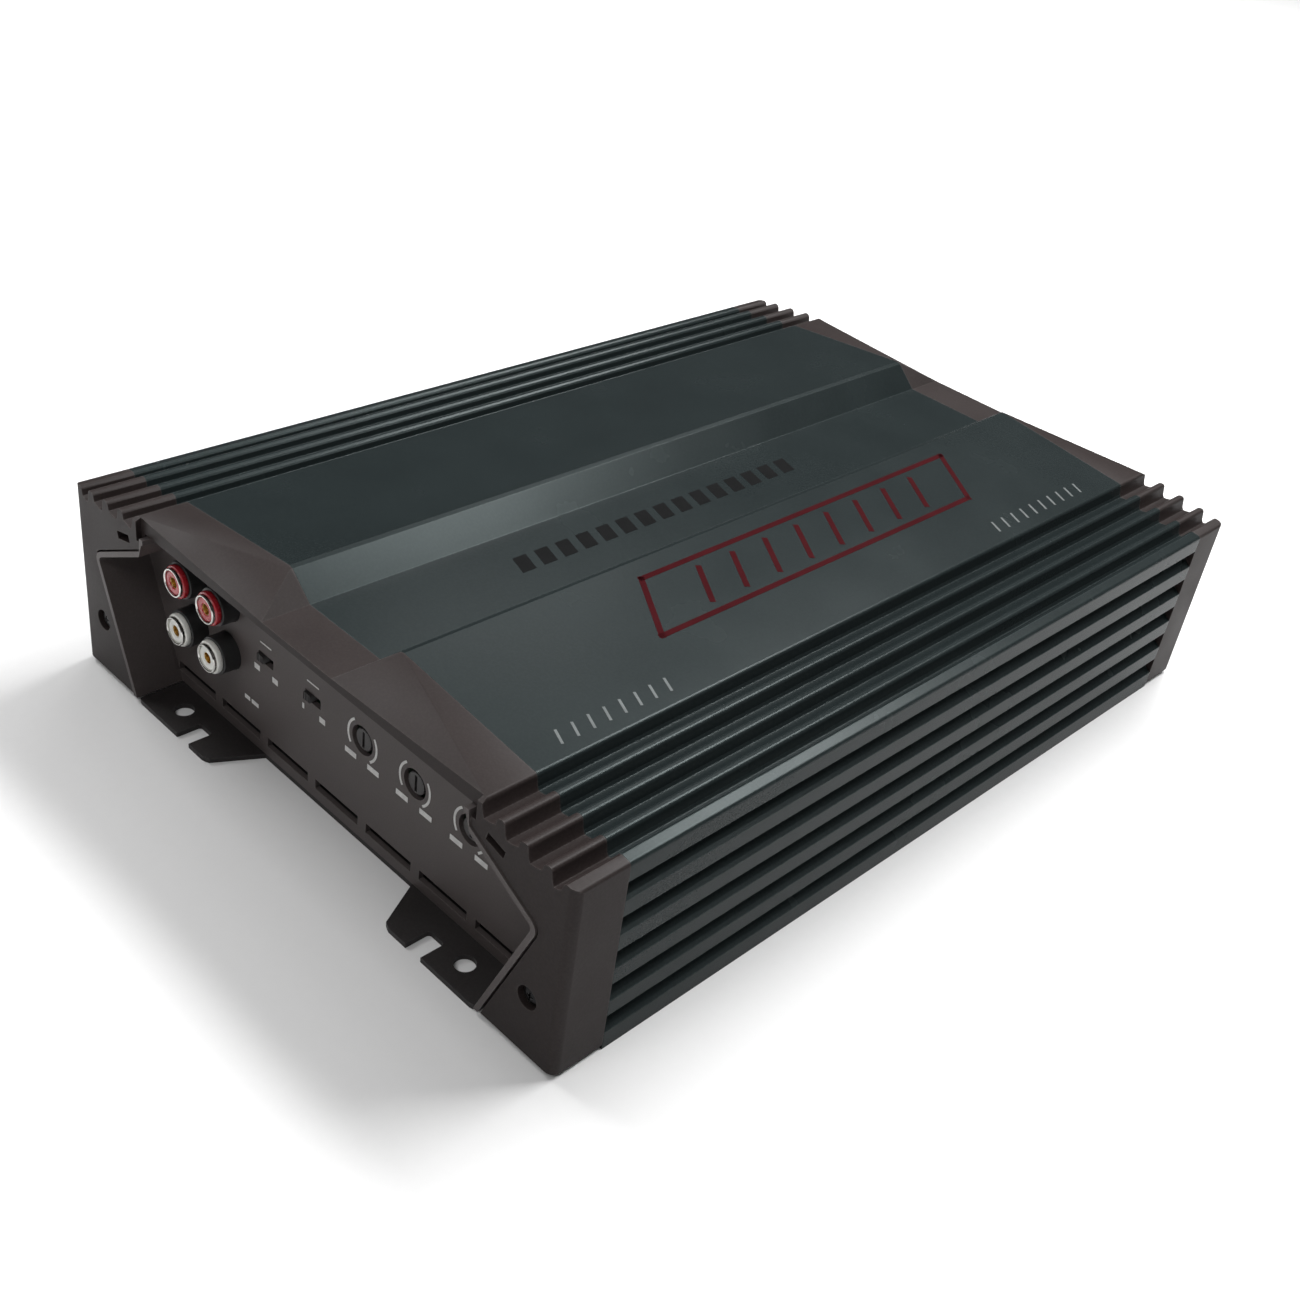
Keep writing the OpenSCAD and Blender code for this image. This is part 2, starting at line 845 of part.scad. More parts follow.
// insulating block round a row of brass inserts, open to the outside and to the top
module terminal_block(wires) {
    x0 = block_left(wires);
    difference() {
        translate([x0, core_y - block_in, block_z])
            cube([block_right(wires) - x0, block_in + sheet_t + block_out, block_h]);
        for (w = wires) {
            insert_block(w);
            rod_y(w[0], wire_z, w[1] + 0.4, core_y, end_y);
            translate([w[0], terminal_y, insert_top - over]) cylinder(h = block_h, r = screw_r(w) + 0.5);
        }
    }
}

function screw_r(w) = w[1] > 4 ? 3.6 : 2.4;

module insert_block(w) {
    translate([w[0] - insert_w / 2, core_y - block_in + 3, block_z + 1.5])
        cube([insert_w, block_in + sheet_t + block_out - 5, insert_top - block_z - 1.5]);
}

module insert(w) {
    difference() {
        insert_block(w);
        rod_y(w[0], wire_z, w[1], core_y - block_in + 6, end_y);
        translate([w[0], terminal_y, wire_z]) cylinder(h = block_h, r = screw_r(w));
    }
}

module power_terminal() {
    color("#171717") terminal_block(power_wires);
}

module speaker_terminal() {
    color("#171717") terminal_block(speaker_wires);
}

module terminal_inserts() {
    color("#c7a85a") {
        for (w = power_wires) {
            insert(w);
        }
        for (w = speaker_wires) {
            insert(w);
        }
    }
}

module clamp_screw(w) {
    z0 = wire_z + w[1] + 0.4;
    color("#b9bcbf") translate([w[0], terminal_y, z0]) difference() {
        cylinder(h = insert_top + insert_lip - z0, r = screw_r(w) - fit);
        translate([0, 0, insert_top + insert_lip - socket_d - z0])
            cylinder(h = socket_d + over, r = screw_r(w) * 0.55, $fn = 6);
    }
}

module positive_screw() {
    clamp_screw(power_wires[0]);
}

module remote_screw() {
    clamp_screw(power_wires[1]);
}

module ground_screw() {
    clamp_screw(power_wires[2]);
}

module speaker_plus_screw() {
    clamp_screw(speaker_wires[0]);
}

module speaker_minus_screw() {
    clamp_screw(speaker_wires[1]);
}

module fuse_holder() {
    color("#171717") difference() {
        translate([fuse_xs[0] - holder_margin[0], core_y - block_in, fuse_z - holder_margin[1]])
            cube([fuse_xs[1] - fuse_xs[0] + 2 * holder_margin[0], block_in + sheet_t + holder_out,
                2 * holder_margin[1]]);
        for (x = fuse_xs, s = [-1, 1]) {
            translate([x - blade[0] / 2 - gap, panel_y + holder_out - blade[1] - 1,
                    fuse_z + s * blade_dz - blade[2] / 2 - gap])
                cube([blade[0] + 2 * gap, blade[1] + 2, blade[2] + 2 * gap]);
        }
    }
}

// plug-in blade fuse: body, grip step and two blades
module blade_fuse(x) {
    y0 = panel_y + holder_out + gap;
    color("#d98a1f") {
        translate([x - fuse_size[0] / 2, y0, fuse_z - fuse_size[2] / 2]) cube(fuse_size);
        translate([x - fuse_grip[0] / 2, y0 + 4, fuse_z - fuse_grip[2] / 2]) cube(fuse_grip);
    }
    color("#b9bcbf") for (s = [-1, 1]) {
        translate([x - blade[0] / 2, y0 - blade[1] + 0.7, fuse_z + s * blade_dz - blade[2] / 2])
            cube([blade[0], blade[1], blade[2]]);
    }
}

module first_fuse() {
    blade_fuse(fuse_xs[0]);
}

module second_fuse() {
    blade_fuse(fuse_xs[1]);
}

module status_lights() {
    color("#7fd18b") for (x = light_xs) {
        rod_y(x, light_z, light_r, core_y - 6, panel_y + 0.8);
        rod_y(x, light_z, light_flange_r, core_y - 6, core_y - 1.2);
    }
}

heatsink_body();
front_end_cap();
rear_end_cap();
front_panel();
rear_panel();
bottom_plate();
end_cap_screws();
panel_screws();
bottom_screws();
main_board();
board_standoffs();
board_screws();
control_board();
board_header();
jack_block();
jack_collars();
red_jack_rings();
white_jack_rings();
jack_shells();
pot_bodies();
gain_knob();
filter_knob();
boost_knob();
switch_bodies();
phase_slider();
range_slider();
supply_core();
supply_winding();
choke_core();
choke_winding();
input_capacitors();
rail_capacitors();
supply_transistors();
output_transistors();
left_thermal_pad();
right_thermal_pad();
left_clamp_bar();
right_clamp_bar();
clamp_screws();
power_terminal();
speaker_terminal();
terminal_inserts();
positive_screw();
remote_screw();
ground_screw();
speaker_plus_screw();
speaker_minus_screw();
fuse_holder();
first_fuse();
second_fuse();
status_lights();
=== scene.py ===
import math

import bmesh
import bpy
from mathutils import Matrix, Vector


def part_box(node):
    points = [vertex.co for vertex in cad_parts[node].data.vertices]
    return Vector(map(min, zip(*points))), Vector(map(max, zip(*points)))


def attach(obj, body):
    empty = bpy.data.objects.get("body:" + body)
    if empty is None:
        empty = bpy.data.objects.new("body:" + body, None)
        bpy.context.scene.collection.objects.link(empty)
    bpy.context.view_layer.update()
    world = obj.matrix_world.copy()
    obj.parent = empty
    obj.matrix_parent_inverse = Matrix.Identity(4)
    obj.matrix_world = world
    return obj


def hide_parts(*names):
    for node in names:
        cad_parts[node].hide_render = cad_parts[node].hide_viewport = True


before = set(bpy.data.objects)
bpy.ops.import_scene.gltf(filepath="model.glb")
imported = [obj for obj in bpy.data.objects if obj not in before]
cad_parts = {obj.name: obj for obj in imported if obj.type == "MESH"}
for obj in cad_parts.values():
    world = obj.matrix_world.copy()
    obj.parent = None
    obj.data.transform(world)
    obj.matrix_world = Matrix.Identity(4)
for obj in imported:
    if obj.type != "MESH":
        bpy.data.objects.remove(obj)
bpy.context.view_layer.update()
scene = bpy.context.scene
mm = 0.001
chassis = "chassis"
print("frame loaded:", len(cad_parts), "nodes")


# finishes: one procedural look per material

def newNode(tree, kind, at, **inputs):
    node = tree.nodes.new(kind)
    node.location = at
    for key, value in inputs.items():
        node.inputs[key.replace("_", " ")].default_value = value
    return node


def noiseNode(tree, coords, size, detail, at):
    # size is the length in metres of one blot of the pattern
    node = newNode(tree, "ShaderNodeTexNoise", at, Scale=1 / size, Detail=detail, Roughness=0.55)
    tree.links.new(coords, node.inputs["Vector"])
    return node.outputs["Fac"]


def rangeNode(tree, value, low, high, toLow, toHigh, at):
    node = newNode(tree, "ShaderNodeMapRange", at)
    node.inputs["From Min"].default_value = low
    node.inputs["From Max"].default_value = high
    node.inputs["To Min"].default_value = toLow
    node.inputs["To Max"].default_value = toHigh
    tree.links.new(value, node.inputs["Value"])
    return node.outputs["Result"]


def mixColor(tree, factor, first, second, at):
    node = tree.nodes.new("ShaderNodeMix")
    node.data_type = "RGBA"
    node.location = at
    tree.links.new(factor, node.inputs["Factor"])
    for value, socket in ((first, node.inputs["A"]), (second, node.inputs["B"])):
        if isinstance(value, tuple):
            socket.default_value = (*value, 1)
        else:
            tree.links.new(value, socket)
    return node.outputs["Result"]


def mathNode(tree, operation, first, second, at):
    node = tree.nodes.new("ShaderNodeMath")
    node.operation = operation
    node.location = at
    for value, socket in ((first, node.inputs[0]), (second, node.inputs[1])):
        if isinstance(value, (int, float)):
            socket.default_value = value
        else:
            tree.links.new(value, socket)
    return node.outputs[0]


def edgeMask(tree, radius, at):
    # 1 where a rounded edge would turn the surface, 0 on the flats
    bevel = newNode(tree, "ShaderNodeBevel", at, Radius=radius)
    bevel.samples = 4
    geometry = newNode(tree, "ShaderNodeNewGeometry", (at[0], at[1] - 160))
    dot = tree.nodes.new("ShaderNodeVectorMath")
    dot.operation = "DOT_PRODUCT"
    tree.links.new(bevel.outputs["Normal"], dot.inputs[0])
    tree.links.new(geometry.outputs["Normal"], dot.inputs[1])
    return rangeNode(tree, dot.outputs["Value"], 0.998, 0.90, 0, 1, (at[0] + 340, at[1]))


def finish(name, look):
    # look holds two colours, the sizes of the pattern, roughness, bump, painted edge highlights and plain
    # socket values
    material = bpy.data.materials.new(name)
    material.use_nodes = True
    tree = material.node_tree
    shader = tree.nodes["Principled BSDF"]
    coords = newNode(tree, "ShaderNodeTexCoord", (-1500, 0)).outputs["Object"]
    if "stretch" in look:
        squeeze = newNode(tree, "ShaderNodeMapping", (-1300, 0), Scale=look["stretch"])
        tree.links.new(coords, squeeze.inputs["Vector"])
        coords = squeeze.outputs["Vector"]
    patch = noiseNode(tree, coords, look["patch"], 4, (-1100, 300))
    grain = noiseNode(tree, coords, look["grain"], 3, (-1100, 0))
    tint = rangeNode(tree, patch, 0.35, 0.65, 0, 1, (-850, 300))
    color = mixColor(tree, tint, look["color"], look["blotch"], (-600, 300))
    speck = rangeNode(tree, grain, 0.42, 0.62, 0, look.get("speck", 0.35), (-850, 60))
    color = mixColor(tree, speck, color, look.get("speckColor", look["blotch"]), (-420, 300))
    roughLow, roughHigh = look["rough"]
    rough = rangeNode(tree, patch, 0.3, 0.7, roughLow, roughHigh, (-850, -120))
    # painted highlight: edges are mixed towards a lighter colour of the same hue, broken up by the grain
    # noise
    if look.get("edge"):
        mask = edgeMask(tree, look["edge"], (-1100, -420))
        shineBreakup = rangeNode(tree, grain, 0.3, 0.6, 0.4, 1, (-850, -300))
        shineMix = mathNode(tree, "MULTIPLY", mask, shineBreakup, (-600, -420))
        shineMix = mathNode(tree, "MULTIPLY", shineMix, look["edgeShine"], (-440, -420))
        color = mixColor(tree, shineMix, color, look["edgeShineColor"], (-240, 300))
    tree.links.new(color, shader.inputs["Base Color"])
    tree.links.new(rough, shader.inputs["Roughness"])
    bump = newNode(tree, "ShaderNodeBump", (-240, -260), Strength=look["bump"], Distance=look["depth"])
    tree.links.new(grain, bump.inputs["Height"])
    if look.get("round"):
        soft = newNode(tree, "ShaderNodeBevel", (-440, -620), Radius=look["round"])
        soft.samples = 4
        tree.links.new(soft.outputs["Normal"], bump.inputs["Normal"])
    tree.links.new(bump.outputs["Normal"], shader.inputs["Normal"])
    shader.inputs["Metallic"].default_value = look.get("metal", 0)
    shader.inputs["Specular IOR Level"].default_value = look.get("specular", 0.5)
    shader.inputs["Specular Tint"].default_value = (*look.get("tint", (1, 1, 1)), 1)
    shader.inputs["Coat Weight"].default_value = look.get("coat", 0)
    shader.inputs["Coat Roughness"].default_value = look.get("coatRough", 0.2)
    shader.inputs["Transmission Weight"].default_value = look.get("through", 0)
    return material


# the edge colours in these looks are painted highlights along the edges, not wear
bodyCoat = finish("body_coat", {
    "color": (0.0112, 0.0152, 0.0158), "blotch": (0.0125, 0.0170, 0.0176),
    "speckColor": (0.018, 0.0235, 0.0242),
    "patch": 0.03, "grain": 0.0007, "speck": 0.30, "rough": (0.24, 0.28), "bump": 0.07, "depth": 0.00003,
    "specular": 0.10, "tint": (0.84, 1.0, 1.0), "edge": 0.0005, "edgeShine": 0.35, "edgeShineColor": (0.10, 0.12, 0.12),
    "round": 0.0003})
capCoat = finish("cap_coat", {
    "color": (0.0195, 0.0146, 0.0141), "blotch": (0.0222, 0.0167, 0.0160),
    "speckColor": (0.032, 0.0255, 0.0243),
    "patch": 0.02, "grain": 0.0006, "speck": 0.35, "rough": (0.42, 0.50), "bump": 0.22, "depth": 0.00006,
    "specular": 0.12, "edge": 0.0006, "edgeShine": 0.30, "edgeShineColor": (0.10, 0.088, 0.085)})
panelPaint = finish("panel_paint", {
    "color": (0.062, 0.0515, 0.0500), "blotch": (0.068, 0.057, 0.0555), "speckColor": (0.090, 0.078, 0.075),
    "patch": 0.025, "grain": 0.0005, "speck": 0.3, "rough": (0.44, 0.54), "bump": 0.15, "depth": 0.00004,
    "specular": 0.34, "edge": 0.0004, "edgeShine": 0.45, "edgeShineColor": (0.15, 0.135, 0.13)})
platePaint = finish("plate_paint", {
    "color": (0.0105, 0.0085, 0.0085), "blotch": (0.014, 0.0115, 0.0115), "speckColor": (0.024, 0.020, 0.020),
    "patch": 0.015, "grain": 0.0008, "speck": 0.4, "rough": (0.50, 0.62), "bump": 0.30, "depth": 0.00006,
    "specular": 0.4, "edge": 0.0003, "edgeShine": 0.4, "edgeShineColor": (0.07, 0.065, 0.062)})
blackSteel = finish("black_steel", {
    "color": (0.012, 0.012, 0.013), "blotch": (0.02, 0.02, 0.021), "patch": 0.003, "grain": 0.0003,
    "rough": (0.28, 0.40), "bump": 0.12, "depth": 0.00002, "metal": 0.9, "edge": 0.0002, "edgeShine": 0.5,
    "edgeShineColor": (0.12, 0.12, 0.12)})
zincSteel = finish("zinc_steel", {
    "color": (0.50, 0.51, 0.53), "blotch": (0.60, 0.60, 0.60), "patch": 0.004, "grain": 0.0002,
    "rough": (0.24, 0.38), "bump": 0.10, "depth": 0.00002, "metal": 1})
brass = finish("turned_brass", {
    "color": (0.60, 0.42, 0.16), "blotch": (0.52, 0.35, 0.12), "patch": 0.006, "grain": 0.0002,
    "rough": (0.20, 0.34), "bump": 0.08, "depth": 0.00002, "metal": 1, "round": 0.0002})
blackNylon = finish("black_nylon", {
    "color": (0.012, 0.012, 0.0125), "blotch": (0.016, 0.016, 0.0165), "patch": 0.01, "grain": 0.0003,
    "speckColor": (0.028, 0.028, 0.029), "rough": (0.36, 0.48), "bump": 0.18, "depth": 0.00003,
    "round": 0.0003})
knobPlastic = finish("knob_plastic", {
    "color": (0.020, 0.018, 0.018), "blotch": (0.027, 0.024, 0.024), "patch": 0.004, "grain": 0.0002,
    "speckColor": (0.045, 0.042, 0.042), "rough": (0.36, 0.46), "bump": 0.12, "depth": 0.00002})
redPlastic = finish("red_plastic", {
    "color": (0.40, 0.012, 0.022), "blotch": (0.33, 0.008, 0.016), "patch": 0.004, "grain": 0.0002,
    "speckColor": (0.50, 0.03, 0.04), "rough": (0.20, 0.30), "bump": 0.06, "depth": 0.00002, "coat": 0.3})
whitePlastic = finish("white_plastic", {
    "color": (0.78, 0.78, 0.74), "blotch": (0.72, 0.72, 0.68), "patch": 0.004, "grain": 0.0002,
    "speckColor": (0.84, 0.84, 0.80), "rough": (0.20, 0.30), "bump": 0.06, "depth": 0.00002, "coat": 0.3})
nickel = finish("bright_nickel", {
    "color": (0.74, 0.73, 0.70), "blotch": (0.66, 0.65, 0.62), "patch": 0.003, "grain": 0.00015,
    "rough": (0.12, 0.22), "bump": 0.05, "depth": 0.00001, "metal": 1})
circuitGreen = finish("circuit_green", {
    "color": (0.010, 0.070, 0.028), "blotch": (0.014, 0.095, 0.036), "patch": 0.006, "grain": 0.0008,
    "speckColor": (0.03, 0.13, 0.05), "rough": (0.25, 0.36), "bump": 0.10, "depth": 0.00003, "coat": 0.2})
blueShell = finish("blue_shell", {
    "color": (0.020, 0.070, 0.190), "blotch": (0.025, 0.085, 0.22), "patch": 0.004, "grain": 0.0003,
    "rough": (0.34, 0.44), "bump": 0.12, "depth": 0.00003, "round": 0.0002})
tinnedSteel = finish("tinned_steel", {
    "color": (0.42, 0.42, 0.43), "blotch": (0.50, 0.50, 0.50), "patch": 0.004, "grain": 0.0003,
    "rough": (0.28, 0.42), "bump": 0.10, "depth": 0.00002, "metal": 1, "round": 0.0002})
ferriteCoat = finish("ferrite_coat", {
    "color": (0.030, 0.038, 0.034), "blotch": (0.045, 0.052, 0.047), "patch": 0.006, "grain": 0.0006,
    "rough": (0.50, 0.66), "bump": 0.30, "depth": 0.00008, "round": 0.0008})
enamelWire = finish("enamel_wire", {
    "color": (0.42, 0.105, 0.022), "blotch": (0.50, 0.150, 0.035), "patch": 0.008, "grain": 0.0010,
    "rough": (0.18, 0.30), "bump": 0.10, "depth": 0.00004, "metal": 0.7, "coat": 0.6, "coatRough": 0.15})
canSleeve = finish("can_sleeve", {
    "color": (0.012, 0.016, 0.050), "blotch": (0.016, 0.022, 0.065), "patch": 0.010, "grain": 0.0012,
    "rough": (0.22, 0.34), "bump": 0.14, "depth": 0.00006, "round": 0.0006})
epoxy = finish("package_epoxy", {
    "color": (0.014, 0.014, 0.015), "blotch": (0.020, 0.020, 0.021), "patch": 0.004, "grain": 0.0002,
    "rough": (0.50, 0.60), "bump": 0.20, "depth": 0.00003, "round": 0.0002})
siliconePad = finish("silicone_pad", {
    "color": (0.30, 0.32, 0.33), "blotch": (0.34, 0.35, 0.36), "patch": 0.010, "grain": 0.0010,
    "rough": (0.60, 0.72), "bump": 0.20, "depth": 0.00005})
sawnAluminium = finish("sawn_aluminium", {
    "color": (0.52, 0.53, 0.54), "blotch": (0.60, 0.60, 0.61), "patch": 0.006, "grain": 0.0005,
    "stretch": (1, 12, 1), "rough": (0.28, 0.42), "bump": 0.25, "depth": 0.00003, "metal": 1,
    "round": 0.0003})
fuseAmber = finish("fuse_amber", {
    "color": (0.72, 0.22, 0.012), "blotch": (0.64, 0.18, 0.008), "patch": 0.006, "grain": 0.0004,
    "speckColor": (0.80, 0.28, 0.03), "rough": (0.14, 0.24), "bump": 0.05, "depth": 0.00002,
    "through": 0.25, "coat": 0.3})
lensGreen = finish("lens_green", {
    "color": (0.10, 0.42, 0.15), "blotch": (0.12, 0.50, 0.18), "patch": 0.002, "grain": 0.0002,
    "rough": (0.10, 0.18), "bump": 0.04, "depth": 0.00001, "through": 0.35})
inkWhite = finish("ink_white", {
    "color": (0.62, 0.62, 0.60), "blotch": (0.50, 0.50, 0.49), "patch": 0.002, "grain": 0.0003,
    "speckColor": (0.42, 0.42, 0.41), "speck": 0.5, "rough": (0.50, 0.62), "bump": 0.15, "depth": 0.00002})
inkRed = finish("ink_red", {
    "color": (0.040, 0.0026, 0.0042), "blotch": (0.033, 0.0022, 0.0036), "patch": 0.010, "grain": 0.0004,
    "speckColor": (0.038, 0.004, 0.006), "speck": 0.4, "rough": (0.50, 0.60), "bump": 0.10, "depth": 0.00002,
    "specular": 0.02})
inkGrey = finish("ink_grey", {
    "color": (0.075, 0.088, 0.088), "blotch": (0.062, 0.073, 0.073), "patch": 0.006, "grain": 0.0004,
    "speckColor": (0.05, 0.06, 0.06), "speck": 0.5, "rough": (0.45, 0.55), "bump": 0.15, "depth": 0.00002})
inlayDark = finish("inlay_dark", {
    "color": (0.0060, 0.0062, 0.0064), "blotch": (0.0075, 0.0077, 0.0080), "patch": 0.010, "grain": 0.0004,
    "speckColor": (0.012, 0.012, 0.012), "rough": (0.50, 0.60), "bump": 0.10, "depth": 0.00002,
    "specular": 0.02})
print("finishes made")


# shared mesh tools

def newObject(name, mesh):
    piece = bpy.data.objects.new(name, mesh)
    scene.collection.objects.link(piece)
    return piece


def meshFrom(name, build, smoothAngle=35):
    # build fills a bmesh; edges sharper than smoothAngle stay crisp
    work = bmesh.new()
    build(work)
    bmesh.ops.recalc_face_normals(work, faces=work.faces)
    settle(work, smoothAngle)
    mesh = bpy.data.meshes.new(name)
    work.to_mesh(mesh)
    work.free()
    return newObject(name, mesh)


def settle(work, smoothAngle):
    for face in work.faces:
        face.smooth = True
    limit = math.radians(smoothAngle)
    for edge in work.edges:
        edge.smooth = len(edge.link_faces) == 2 and edge.calc_face_angle(0) < limit


def place(piece, body, slotName, material, *nodes):
    piece.data.materials.clear()
    piece.data.materials.append(material)
    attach(piece, body)
    if nodes:
        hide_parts(*nodes)
    return piece


def roundedCopy(node, name, width, segments=2, sharpest=28):
    # the CAD shape with its sharp edges rounded by a bevel
    work = bmesh.new()
    work.from_mesh(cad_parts[node].data)
    bmesh.ops.remove_doubles(work, verts=work.verts, dist=2e-6)
    bmesh.ops.dissolve_limit(work, angle_limit=math.radians(0.4), verts=work.verts, edges=work.edges)
    settle(work, 35)
    mesh = bpy.data.meshes.new(name)
    work.to_mesh(mesh)
    work.free()
    piece = newObject(name, mesh)
    bevel = piece.modifiers.new("rounded_edges", "BEVEL")
    bevel.width = width
    bevel.segments = segments
    bevel.limit_method = "ANGLE"
    bevel.angle_limit = math.radians(sharpest)
    bevel.use_clamp_overlap = True
    bevel.harden_normals = True
    applyModifiers(piece)
    return piece


def applyModifiers(piece):
    depsgraph = bpy.context.evaluated_depsgraph_get()
    done = bpy.data.meshes.new_from_object(piece.evaluated_get(depsgraph))
    piece.modifiers.clear()
    piece.data = done


def lathe(work, profile, steps, matrix):
    # profile: (radius, along) pairs, turned round the local Z axis and closed at radius 0
    rings = []
    for radius, along in profile:
        if radius < 1e-7:
            rings.append([work.verts.new(matrix @ Vector((0, 0, along)))])
            continue
        turns = [math.tau * k / steps for k in range(steps)]
        rings.append([work.verts.new(matrix @ Vector((radius * math.cos(a), radius * math.sin(a), along)))
                      for a in turns])
    for lower, upper in zip(rings, rings[1:]):
        for k in range(steps):
            corners = [lower[k % len(lower)], lower[(k + 1) % steps % len(lower)],
                       upper[(k + 1) % steps % len(upper)], upper[k % len(upper)]]
            unique = list(dict.fromkeys(corners))
            if len(unique) > 2:
                work.faces.new(unique)
    return rings


def closedLathe(work, profile, steps, matrix):
    # a ring-shaped profile, joined end to end
    lathe(work, [*profile, profile[0]], steps, matrix)
    bmesh.ops.remove_doubles(work, verts=work.verts, dist=1e-7)


def boxInto(work, low, high, matrix=Matrix.Identity(4)):
    middle = (Vector(low) + Vector(high)) / 2
    size = Vector(high) - Vector(low)
    shape = matrix @ Matrix.Translation(middle) @ Matrix.Diagonal((*size, 1))
    return bmesh.ops.create_cube(work, size=1, matrix=shape)["verts"]


def cutWith(piece, build):
    # boolean difference with a throwaway cutter
    work = bmesh.new()
    build(work)
    bmesh.ops.recalc_face_normals(work, faces=work.faces)
    mesh = bpy.data.meshes.new("cutter")
    work.to_mesh(mesh)
    work.free()
    cutter = newObject("cutter", mesh)
    cut = piece.modifiers.new("cut", "BOOLEAN")
    cut.object = cutter
    cut.solver = "EXACT"
    applyModifiers(piece)
    bpy.data.objects.remove(cutter)
    if not piece.data.polygons:
        raise RuntimeError(piece.name + " was cut away to nothing")
    resettle(piece, 35)


def resettle(piece, smoothAngle):
    work = bmesh.new()
    work.from_mesh(piece.data)
    settle(work, smoothAngle)
    work.to_mesh(piece.data)
    work.free()


def facing(axis, at):
    # matrix whose local Z points along axis, placed at a point
    turn = Vector(axis).to_track_quat("Z", "Y").to_matrix().to_4x4()
    return Matrix.Translation(Vector(at)) @ turn


def middleOf(node):
    low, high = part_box(node)
    return (low + high) / 2


# body, end caps, panels and bottom plate

casing = {"capEdge": 0.0006, "sheetEdge": 0.0003, "plateEdge": 0.0003}

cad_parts["heatsink_body"].data.materials.clear()
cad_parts["heatsink_body"].data.materials.append(bodyCoat)
for capName in ("front_end_cap", "rear_end_cap"):
    cap = roundedCopy(capName, capName + "_cast", casing["capEdge"], 3)
    place(cap, chassis, "cap_finish", capCoat, capName)
for panelName in ("front_panel", "rear_panel"):
    sheet = roundedCopy(panelName, panelName + "_sheet", casing["sheetEdge"])
    place(sheet, chassis, "panel_paint", panelPaint, panelName)
plate = roundedCopy("bottom_plate", "bottom_plate_sheet", casing["plateEdge"])
place(plate, chassis, "plate_paint", platePaint, "bottom_plate")
print("casing done")


# signal jacks

jack = {"ringOut": 4.75, "ringLength": 1.5, "shellOut": 4.15, "shellIn": 3.5, "shellLip": 0.18, "pin": 1.6,
        "well": 6.6, "wellFloor": 0.4, "sleeveWall": 0.22, "soft": 0.45, "steps": 56}


def jackCentres(node):
    # one centre and height pair for each jack of a row, from the row's box
    low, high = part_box(node)
    radius = (high.z - low.z) / 2
    return [(low.x + radius, low.z + radius), (high.x - radius, low.z + radius)]


def jackRow(node, material, slotName):
    low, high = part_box(node)
    shellLow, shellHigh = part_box("jack_shells")
    front = low.y                    # tip of the insulator
    tip = front - shellLow.y         # how far the plated barrel stands past it
    step = (jack["ringOut"] - jack["shellOut"]) * mm
    out, barrel, hole = (jack[key] * mm for key in ("ringOut", "shellOut", "shellIn"))
    pin, well, wellFloor, wall, soft = (
        jack[key] * mm for key in ("pin", "well", "wellFloor", "sleeveWall", "soft"))
    back = high.y - front
    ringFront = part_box("jack_collars")[0].y - front
    flange = ringFront - jack["ringLength"] * mm
    for index, (x, z) in enumerate(jackCentres(node)):
        matrix = facing((0, 1, 0), (x, front, z))

        def ringBuild(work):
            closedLathe(work, [
                (barrel, ringFront), (barrel, flange), (barrel + step * 0.3, flange),
                (out - soft * 0.3, flange + soft * 0.3), (out, flange + soft),
                (out, ringFront - soft * 0.5), (out - soft * 0.3, ringFront)], jack["steps"], matrix)

        def coreBuild(work):
            closedLathe(work, [
                (pin, well), (pin, soft * 0.6), (pin + soft * 0.5, 0), (hole - soft * 0.8, 0),
                (hole, soft * 0.6), (hole, back), (wellFloor, back), (wellFloor, well)],
                jack["steps"], matrix)

        def sleeveBuild(work):
            end = well - 0.1 * mm
            closedLathe(work, [
                (pin, 0.25 * mm), (pin, end), (pin - wall, end), (pin - wall, 0.5 * mm),
                (pin - 0.1 * mm, 0.2 * mm)], jack["steps"], matrix)

        side = node.split("_")[0] + "_" + str(index)
        place(meshFrom("jack_ring_" + side, ringBuild), chassis, slotName, material, node)
        place(meshFrom("jack_insulator_" + side, coreBuild), chassis, slotName, material, node)
        place(meshFrom("jack_contact_" + side, sleeveBuild), chassis, "brass_parts", brass)

        def shellBuild(work):
            lip = jack["shellLip"] * mm
            closedLathe(work, [
                (hole, -tip + lip), (hole + lip, -tip), (barrel - lip, -tip), (barrel, -tip + lip),
                (barrel, shellHigh.y - front), (hole, shellHigh.y - front)], jack["steps"], matrix)

        place(meshFrom("jack_barrel_" + side, shellBuild), chassis, "nickel_plate", nickel, "jack_shells")


jackRow("red_jack_rings", redPlastic, "red_plastic")
jackRow("white_jack_rings", whitePlastic, "white_plastic")
place(roundedCopy("jack_collars", "jack_collar_moulding", 0.0003, 2), chassis, "black_plastic", blackNylon,
      "jack_collars")
place(roundedCopy("jack_block", "jack_block_moulding", 0.0004, 2), chassis, "black_plastic", blackNylon,
      "jack_block")
print("jacks done")


# level knobs and slide switches

knob = {"flutes": 18, "fluteDepth": 0.22, "soft": 0.35, "steps": 108, "slot": (0.9, 4.8, 1.0),
        "shaft": 1.5, "shaftLength": 4.7}


